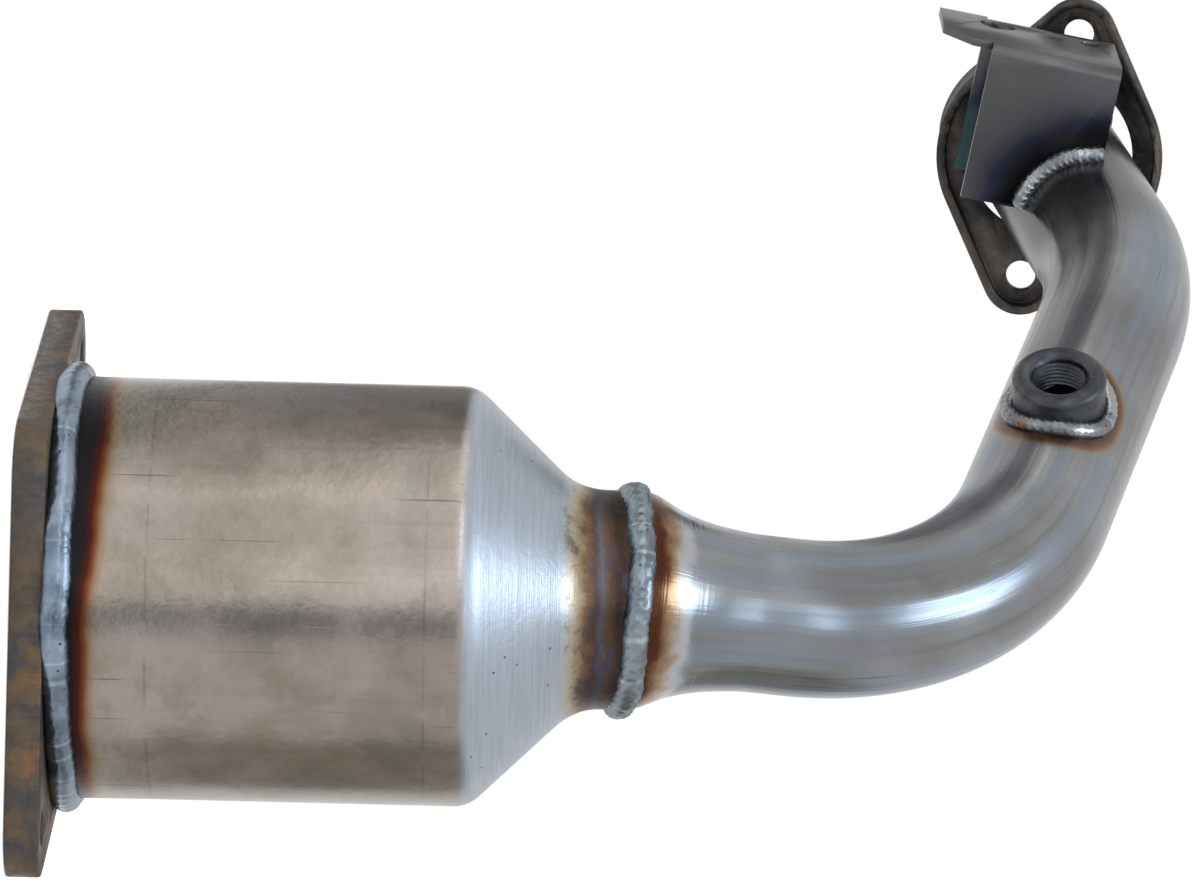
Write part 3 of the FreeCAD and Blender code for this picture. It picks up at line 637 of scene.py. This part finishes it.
def bead(paths, material, weld):
    # every path is (points, closed)
    whole = bmesh.new()
    for points, closed in paths:
        line = bpy.data.meshes.new("beadLine")
        edges = [(i, i + 1) for i in range(len(points) - 1)] + ([(len(points) - 1, 0)] if closed else [])
        line.from_pydata([tuple(p) for p in points], edges, [])
        sizes = {"Half width": weld["halfWidth"], "Ripple step": weld["step"],
                 "Ripple height": weld["height"], "Lag": 1.1,
                 "Taper": 1e-6 if closed else weld["taper"], "Finish": material}
        whole.from_mesh(runNodes(beadTree, line, sizes))
    mesh = bpy.data.meshes.new("bead")
    bmesh.ops.recalc_face_normals(whole, faces=whole.faces)
    whole.to_mesh(mesh)
    whole.free()
    return mesh


def wander(a):
    return 0.00035 * math.sin(5 * a) + 0.0002 * math.sin(13 * a + 1)


def ringPoints(centre, normal, radius, start=0.0, end=360.0, step=0.0006):
    # a hand-held ring that wanders a little to both sides
    x, y = sideAxes(normal) if abs(normal.z) < 0.9999 else (Vector((1, 0, 0)), Vector((0, 1, 0)))
    count = max(8, round(radius * math.radians(end - start) / step))
    last = count if abs(end - start - 360) > 0.01 else count - 1
    points = []
    for i in range(last + 1):
        a = math.radians(start + (end - start) * i / count)
        points.append(centre + (x * math.cos(a) + y * math.sin(a)) * radius + normal * wander(a))
    return points


def buildWelds():
    blue = weldFinish("inletBead", (0.13, 0.165, 0.21), (0.22, 0.27, 0.33), (0.1, 0.1, 0.11))
    mixed = weldFinish("neckBead", (0.14, 0.165, 0.185), (0.22, 0.265, 0.29), (0.13, 0.08, 0.05))
    silver = weldFinish("bossBead", (0.3, 0.31, 0.32), (0.16, 0.17, 0.185), (0.17, 0.09, 0.045))
    w = welds["inlet"]
    mesh = bead([(ringPoints(Vector((0, 0, w["level"])), Vector((0, 0, 1)), w["radius"]), True)], blue, w)
    for v in mesh.vertices:  # the bead ends in the can's sheet and doesn't show inside
        far = math.hypot(v.co.x, v.co.y)
        if far < w["innerReach"]:
            v.co.x *= w["innerReach"] / far
            v.co.y *= w["innerReach"] / far
    newPiece("inletBead", mesh, blue, ["inlet_flange_weld"])
    w = welds["neck"]  # two passes that overlap at both ends
    first = ringPoints(mitrePoint + mitreNormal * 0.0006, mitreNormal, w["radius"] + 0.0003, 20, 292)
    second = ringPoints(mitrePoint - mitreNormal * 0.0004, mitreNormal, w["radius"], 262, 410)
    mesh = bead([(first, False), (second, False)], mixed, w)
    newPiece("neckBead", mesh, mixed, ["neck_weld"])
    w = welds["boss"]
    saddle = []
    for a in turnAngles(180):
        side = w["radius"] * math.sin(a)
        lift = math.sqrt(pipe["radius"] ** 2 - side ** 2) + 0.0007 + 0.0004 * math.sin(4 * a)
        saddle.append(bossPoint + runs[1] * (w["radius"] * math.cos(a)) + bossSide * side + bossAxis * lift)
    newPiece("bossBead", bead([(saddle, True)], silver, w), silver, ["sensor_boss_weld"])
    buildBracketWelds(silver)


bracket = {
    "corner": Vector((-0.1275, 0.2147, 0.2983)), "turn": 10.0, "depth": 0.044, "long": 0.0435,
    "drop": 0.0527,
}


def buildBracketWelds(material):
    turned = Matrix.Rotation(math.radians(bracket["turn"]), 3, "Y")
    along, down = turned @ Vector((0, 0, 1)), turned @ Vector((1, 0, 0))
    w = welds["bracket"]
    x, y = sideAxes(runs[2])
    for name, node, depth, side in (("bracketFrontBead", "bracket_front_weld", 0.0, -1),
                                    ("bracketBackBead", "bracket_back_weld", bracket["depth"], 1)):
        level = bracket["corner"].y + depth + side * 0.0007
        points = []
        for i in range(720):
            a = math.radians(i / 2)
            spoke = pipe["end"] + (x * math.cos(a) + y * math.sin(a)) * w["radius"]
            p = spoke + runs[2] * ((level - spoke.y) / runs[2].y)
            rel = p - bracket["corner"]
            if -0.001 < rel.dot(along) < bracket["long"] + 0.0005 and 0 < rel.dot(down) < bracket["drop"]:
                points.append((i, p))
        split = next((k for k in range(1, len(points)) if points[k][0] - points[k - 1][0] > 1), 0)
        ordered = [p for i, p in points[split:] + points[:split]]
        newPiece(name, bead([(ordered, False)], material, w), material, [node])


def bossFinish():
    f = Finish("turnedSteel", roughness=0.4)
    spot = f.place()
    wide = f.noise(spot, 70, 4)
    fine = f.noise(spot, 800, 2)
    base = f.ramp(wide, [(0.34, (0.035, 0.038, 0.045)), (0.52, (0.07, 0.075, 0.085)),
                         (0.68, (0.11, 0.105, 0.1))])
    base = f.mix(f.between(f.noise(spot, 150, 4, 0.7), 0.56, 0.7) * 0.5, base, (0.16, 0.09, 0.05))
    rough = f.between(fine, 0.3, 0.7, 0.34, 0.5)
    return f.set(Base_Color=base, Roughness=rough, Normal=f.bump(fine + wide * 0.5, 0.2, 0.0004))


def buildBoss():
    # outer wall, chamfers and a threaded bore, as one closed skin
    radius, core, cham, top = boss["radius"], boss["core"], boss["chamfer"], boss["height"]
    angles = turnAngles(boss["around"])
    shoulder = top - cham

    def saddleAt(reach, angle, sink):
        return math.sqrt(pipe["radius"] ** 2 - (reach * math.sin(angle)) ** 2) - sink

    rows = []
    for share in (0.0, 0.35, 0.8, 0.97, 1.0):  # the wall stands on the pipe's round
        lows = [saddleAt(radius, a, 0.0005) for a in angles]
        rows.append([(radius, a, low + (shoulder - low) * share) for a, low in zip(angles, lows)])
    for reach, h in ((radius - cham * 0.5, top - cham * 0.38), (radius - cham, top - 0.0001),
                     (radius - cham - 0.0003, top), (core + cham + 0.0002, top), (core + cham, top - 0.0001)):
        rows.append([(reach, a, h) for a in angles])
    steps = boss["threadRows"]
    for k in range(steps + 1):
        row = []
        for j, a in enumerate(angles):
            low = saddleAt(core, a, 0.0022)
            h = shoulder + (low - shoulder) * k / steps
            phase = (h / boss["pitch"] - j / len(angles)) % 1.0
            flank = 1 - abs(2 * phase - 1)
            deep = (boss["major"] - core) * min(1.0, max(0.0, flank * 1.25 - 0.12))
            row.append((core + deep * min(1.0, k / 3), a, h))
        rows.append(row)

    def stand(r, a, h):
        return bossPoint + runs[1] * (r * math.cos(a)) + bossSide * (r * math.sin(a)) + bossAxis * h

    mesh = gridMesh("bossRing", [[stand(*spot) for spot in row] for row in rows])
    outward(mesh)
    newPiece("bossRing", mesh, bossFinish(), ["sensor_boss"])


brick = {"radius": 0.0592, "start": 0.034, "run": 0.092, "cell": 0.0018, "web": 0.0003, "deep": 0.007,
         "skin": 0.0024}


def ceramicFinish():
    f = Finish("washcoat", metallic=0.0, roughness=0.9)
    spot = f.place()
    base = f.ramp(f.noise(spot, 26, 4), [(0.35, (0.24, 0.205, 0.16)), (0.5, (0.36, 0.31, 0.24)),
                                         (0.66, (0.3, 0.25, 0.185))])
    base = f.mix(f.between(f.noise(spot, 700, 3), 0.5, 0.75) * 0.5, base, (0.17, 0.145, 0.115))
    return f.set(Base_Color=base, Normal=f.bump(f.noise(spot, 1500, 2), 0.3, 0.0003))


def honeycombTree():
    t = Tree("cellFace", {"Reach": 0.059, "Cell": 0.0018})
    count = 65
    span = t.maths("MULTIPLY", t.given["Cell"], count - 1)
    grid = t.add("GeometryNodeMeshGrid", {}, {"Vertices X": count, "Vertices Y": count, "Size X": span,
                                              "Size Y": span})
    spot = t.add("GeometryNodeInputPosition").outputs[0]
    far = t.add("ShaderNodeVectorMath", {"operation": "LENGTH"}, {0: spot}).outputs["Value"]
    inside = t.add("FunctionNodeCompare", {"data_type": "FLOAT", "operation": "LESS_THAN"},
                   {"A": far, "B": t.given["Reach"]})
    place = t.add("GeometryNodeInstanceOnPoints", {}, {"Points": grid.outputs["Mesh"],
                                                       "Selection": inside.outputs[0],
                                                       "Instance": t.given["Geometry"]})
    return t.close(place.outputs["Instances"])


def channelMesh():
    # one channel: the square of web round its mouth, and its walls and floor
    half, hole = brick["cell"] / 2, (brick["cell"] - brick["web"]) / 2
    points = []
    for reach, z in ((half, 0), (hole, 0), (hole, brick["deep"])):
        points += [(x * reach, y * reach, z) for x, y in ((-1, -1), (1, -1), (1, 1), (-1, 1))]
    faces = [(low + 4 + i, low + 4 + (i + 1) % 4, low + (i + 1) % 4, low + i)
             for low in (0, 4) for i in range(4)]
    mesh = bpy.data.meshes.new("channel")
    mesh.from_pydata(points, [], faces + [(8, 11, 10, 9)])
    return mesh


def buildBrick():
    material = ceramicFinish()
    radius, start, deep = brick["radius"], brick["start"], brick["deep"]
    mesh = runNodes(honeycombTree(), channelMesh(), {"Reach": radius - 0.0017, "Cell": brick["cell"],
                                                     "Finish": material})
    work = bmesh.new()
    work.from_mesh(mesh)
    bmesh.ops.remove_doubles(work, verts=work.verts, dist=1e-6)
    bmesh.ops.translate(work, verts=work.verts, vec=(0, 0, start + 0.0002))
    solid = brick["run"] - deep
    body = bmesh.ops.create_cone(work, cap_ends=True, segments=120, radius1=radius, radius2=radius,
                                 depth=solid)
    bmesh.ops.translate(work, verts=body["verts"], vec=(0, 0, start + deep + solid / 2))
    inside, floorLevel = radius - brick["skin"], start + deep + 0.0005
    outline = ((radius, start), (radius, floorLevel), (inside, floorLevel), (inside, start))
    collar = gridMesh("brickRim", [[(r * math.cos(a), r * math.sin(a), z) for a in turnAngles(120)]
                                   for r, z in outline])
    outward(collar)
    work.from_mesh(collar)
    work.to_mesh(mesh)
    work.free()
    newPiece("ceramicBrick", mesh, material, ["catalyst_brick"], smooth=False)


def matFinish(name, low, high, metallic):
    f = Finish(name, metallic=metallic, roughness=0.8 if metallic < 0.5 else 0.5)
    spot = f.place()
    fibres = f.noise(f.stretch(spot, 900, 900, 2600), 1.0, 4, 0.7)
    base = f.mix(f.between(fibres, 0.35, 0.65), low, high)
    return f.set(Base_Color=base, Normal=f.bump(fibres, 0.6, 0.0008))


def plateFinish():
    f = Finish("inletPlate", metallic=0.6, roughness=0.5)
    spot = f.place()
    wide = f.noise(spot, 26, 4, 0.6)
    fine = f.noise(spot, 330, 4, 0.65)
    base = f.ramp(wide, [(0.3, (0.035, 0.034, 0.034)), (0.44, (0.095, 0.068, 0.042)),
                         (0.54, (0.05, 0.046, 0.046)), (0.64, (0.135, 0.078, 0.032)),
                         (0.75, (0.08, 0.06, 0.042))])
    rust = f.noise(spot, 70, 4, 0.7)
    base = f.mix(f.between(rust, 0.56, 0.72) * 0.7, base, (0.2, 0.085, 0.035))
    base = f.mix(f.between(fine, 0.55, 0.8) * 0.5, base, (0.03, 0.028, 0.028))
    cutLines = f.noise(f.stretch(spot, 700, 700, 30), 1.0, 2)  # the flame's drag lines, right through
    rough = f.between(fine, 0.3, 0.7, 0.42, 0.66)
    relief = fine * 0.6 + cutLines * 0.7 + wide * 0.6
    return f.set(Base_Color=base, Roughness=rough, Normal=f.bump(relief, 0.35, 0.0009))


def pressedFinish():
    f = Finish("pressedPlate", metallic=0.85, roughness=0.5)
    spot = f.place()
    wide = f.noise(spot, 42, 4, 0.6)
    fine = f.noise(spot, 420, 3, 0.6)
    base = f.ramp(wide, [(0.33, (0.022, 0.023, 0.027)), (0.47, (0.055, 0.05, 0.047)),
                         (0.56, (0.1, 0.083, 0.07)), (0.7, (0.06, 0.056, 0.055))])
    base = f.mix(f.between(f.noise(spot, 120, 4, 0.7), 0.58, 0.72) * 0.6, base, (0.16, 0.075, 0.035))
    rough = f.between(fine, 0.3, 0.7, 0.38, 0.6)
    return f.set(Base_Color=base, Roughness=rough, Normal=f.bump(fine * 0.5 + wide * 0.5, 0.3, 0.0006))


def bracketFinish():
    f = Finish("bracketSheet", roughness=0.42)
    spot = f.place()
    x, y = f.axes(spot)[:2]
    wide = f.noise(spot, 34, 4)
    fine = f.noise(spot, 520, 3, 0.6)
    wobble = (f.noise(spot, 55, 3) - 0.5) * 0.008
    arm = f.node("ShaderNodeVectorMath", {"operation": "SUBTRACT"}, {0: spot, 1: tuple(pipe["end"])})
    lever = f.node("ShaderNodeVectorMath", {"operation": "CROSS_PRODUCT"}, {0: arm, 1: tuple(runs[2])})
    away = f.node("ShaderNodeVectorMath", {"operation": "LENGTH"}, {0: lever}, out=1)  # from the pipe
    heat = f.between(away + wobble * 0.6, 0.027, 0.052)
    base = f.ramp(heat, [(0.0, (0.012, 0.012, 0.012)), (0.16, (0.02, 0.021, 0.03)),
                         (0.3, (0.026, 0.03, 0.055)), (0.42, (0.055, 0.052, 0.065)),
                         (0.7, (0.085, 0.083, 0.095)), (1.0, (0.1, 0.1, 0.103))])
    top = f.between(x, -0.1195, -0.1225)  # the plate over the webs stayed cool
    base = f.mix(top, base, (0.125, 0.124, 0.118))
    teal = f.between(y, 0.25, 0.254) * f.between(x, -0.1, -0.094)  # the back web's hot corner
    base = f.mix(teal, base, (0.038, 0.068, 0.078))
    grime = f.between(wide, 0.42, 0.66) * 0.45
    base = f.mix(grime * 0.5, base, (0.07, 0.062, 0.055))
    lines = f.noise(f.stretch(spot, 60, 500, 500), 1.0, 2)
    rough = f.between(wide, 0.3, 0.7, 0.34, 0.5) + (fine - 0.5) * 0.12
    relief = fine * 0.5 + lines * 0.25 + wide * 0.4
    return f.set(Base_Color=base, Roughness=rough, Normal=f.bump(relief, 0.25, 0.0006))


buildShell()
buildPipe()
buildWelds()
buildBoss()
buildBrick()
print("turned and swept pieces made")
for name, node, softened, finish, slot in (
        ("inletPlate", "inlet_flange", mergedCopy("inlet_flange", 0.0007), plateFinish, "inlet_flange"),
        ("pressedFlange", "outlet_flange", mergedCopy("outlet_flange", 0.0004, angle=35), pressedFinish,
         "pressed_steel"),
        ("bracketChannel", "bracket", mergedCopy("bracket", 0.0003, angle=35), bracketFinish,
         "bracket_steel")):
    newPiece(name, softened, finish(), [node])
fibre = matFinish("matFibre", (0.42, 0.4, 0.36), (0.62, 0.6, 0.56), 0.0)
wire = matFinish("knittedWire", (0.12, 0.12, 0.12), (0.45, 0.44, 0.43), 1.0)
for node, material in (("mounting_mat", fibre), ("front_mat_seal", wire), ("rear_mat_seal", wire)):
    nodes[node].data.materials.clear()
    nodes[node].data.materials.append(material)
print("plates, bracket and mat dressed")


stage = {
    "floorReach": 0.3, "floorLevel": -0.0002, "floorTone": 0.9, "floorGlow": 0.38, "worldDim": 0.8,
    "middle": Vector((-0.03, 0.1, 0.18)), "eye": Vector((-0.5639, -1.7883, 0.1714)), "lens": 186.0,
    "right": Vector((-0.02364, 0.00679, 0.9997)), "up": Vector((-0.9607, 0.2759, -0.0246)),
    "view": Vector((0.276, 0.961, 0.0)),
}


def stagePaint(name, tone):
    f = Finish(name, metallic=0.0, roughness=0.9)
    f.shader.inputs["Base Color"].default_value = (*tone, 1)
    return f


def buildFloor():
    # reads as white and keeps the shadow
    reach, level = stage["floorReach"], stage["floorLevel"]
    mesh = bpy.data.meshes.new("floor")
    rim = [(reach * math.cos(a), reach * math.sin(a), level) for a in turnAngles(64)]
    mesh.from_pydata(rim, [], [tuple(range(64))])
    paper = stagePaint("floorPaper", (stage["floorTone"],) * 3)
    paper.shader.inputs["Emission Color"].default_value = (1, 1, 1, 1)
    paper.shader.inputs["Emission Strength"].default_value = stage["floorGlow"]
    mesh.materials.append(paper.mat)
    floor = bpy.data.objects.new("floor", mesh)
    scene.collection.objects.link(floor)


def buildWorld():
    # full white to the camera, in reflections and through gaps, a little less on matt sides
    world = bpy.data.worlds.new("studio")
    scene.world = world
    world.use_nodes = True
    tree = world.node_tree
    back = tree.nodes["Background"]
    seen = tree.nodes.new("ShaderNodeLightPath").outputs

    def larger(a, b):
        n = tree.nodes.new("ShaderNodeMath")
        n.operation = "MAXIMUM"
        tree.links.new(a, n.inputs[0])
        tree.links.new(b, n.inputs[1])
        return n.outputs[0]

    full = larger(seen["Is Camera Ray"], larger(seen["Is Glossy Ray"], seen["Is Transmission Ray"]))
    level = tree.nodes.new("ShaderNodeMapRange")
    tree.links.new(full, level.inputs[0])
    level.inputs[3].default_value = stage["worldDim"]
    level.inputs[4].default_value = 1.0
    tree.links.new(level.outputs[0], back.inputs["Strength"])
    back.inputs["Color"].default_value = (1, 1, 1, 1)


def facing(right, up, toward):
    # a place given from the middle, as the camera sees it, turned to face the middle
    place = stage["middle"] + stage["right"] * right + stage["up"] * up - stage["view"] * toward
    aim = (stage["middle"] - place).normalized()
    return Matrix.Translation(place) @ aim.to_track_quat("-Z", "Y").to_matrix().to_4x4()


def lamp(name, place, size, power, tint):
    data = bpy.data.lights.new(name, "AREA")
    data.shape = "RECTANGLE"
    data.size, data.size_y = size
    data.energy = power
    data.color = tint
    thing = bpy.data.objects.new(name, data)
    scene.collection.objects.link(thing)
    thing.matrix_world = facing(*place)


def board(name, place, size, tone):
    # a board that only shows in the metal's reflections
    a, b = size[0] / 2, size[1] / 2
    mesh = bpy.data.meshes.new(name)
    mesh.from_pydata([(-a, -b, 0), (a, -b, 0), (a, b, 0), (-a, b, 0)], [], [(0, 1, 2, 3)])
    mesh.materials.append(stagePaint(name + "Paint", tone).mat)
    mesh.transform(facing(*place))
    thing = bpy.data.objects.new(name, mesh)
    scene.collection.objects.link(thing)
    thing.visible_camera = False
    thing.visible_diffuse = False
    thing.visible_shadow = False


def buildCamera():
    data = bpy.data.cameras.new("camera")
    data.lens = stage["lens"]
    data.sensor_width = 36.0
    data.clip_start = 0.05
    eye = bpy.data.objects.new("camera", data)
    scene.collection.objects.link(eye)
    pose = Matrix((stage["right"], stage["up"], -stage["view"])).transposed().to_4x4()
    pose.translation = stage["eye"]
    eye.matrix_world = pose
    scene.camera = eye


# places are (right, up, toward the camera); sizes are (up, right)
buildFloor()
buildWorld()
lamp("keyLamp", (0.0, 0.6, 1.4), (1.8, 0.5), 2.5, (0.96, 0.97, 1.0))
lamp("lineLamp", (0.42, 0.68, 1.35), (1.3, 0.06), 3, (0.74, 0.87, 1.0))
lamp("edgeLamp", (0.85, 0.0, 1.3), (0.9, 0.08), 1.4, (0.74, 0.88, 1.0))
lamp("sideLamp", (1.25, 0.05, 0.55), (0.5, 0.6), 6, (0.74, 0.88, 1.0))
lamp("topLamp", (0.2, 1.4, 0.4), (1.2, 0.6), 2.5, (1.0, 0.97, 0.93))
board("backBoard", (0.0, 1.18, -0.56), (3.2, 0.42), (0.36, 0.36, 0.37))
board("frontBoard", (0.0, -0.62, 2.3), (0.6, 0.72), (0.36, 0.45, 0.62))
board("highBoard", (-0.1, 1.25, 1.92), (1.3, 0.5), (0.7, 0.67, 0.64))
board("lowBoard", (0.0, -1.3, -0.35), (1.2, 0.9), (0.52, 0.5, 0.45))
buildCamera()
scene.view_settings.view_transform = "Standard"
print("stage set")
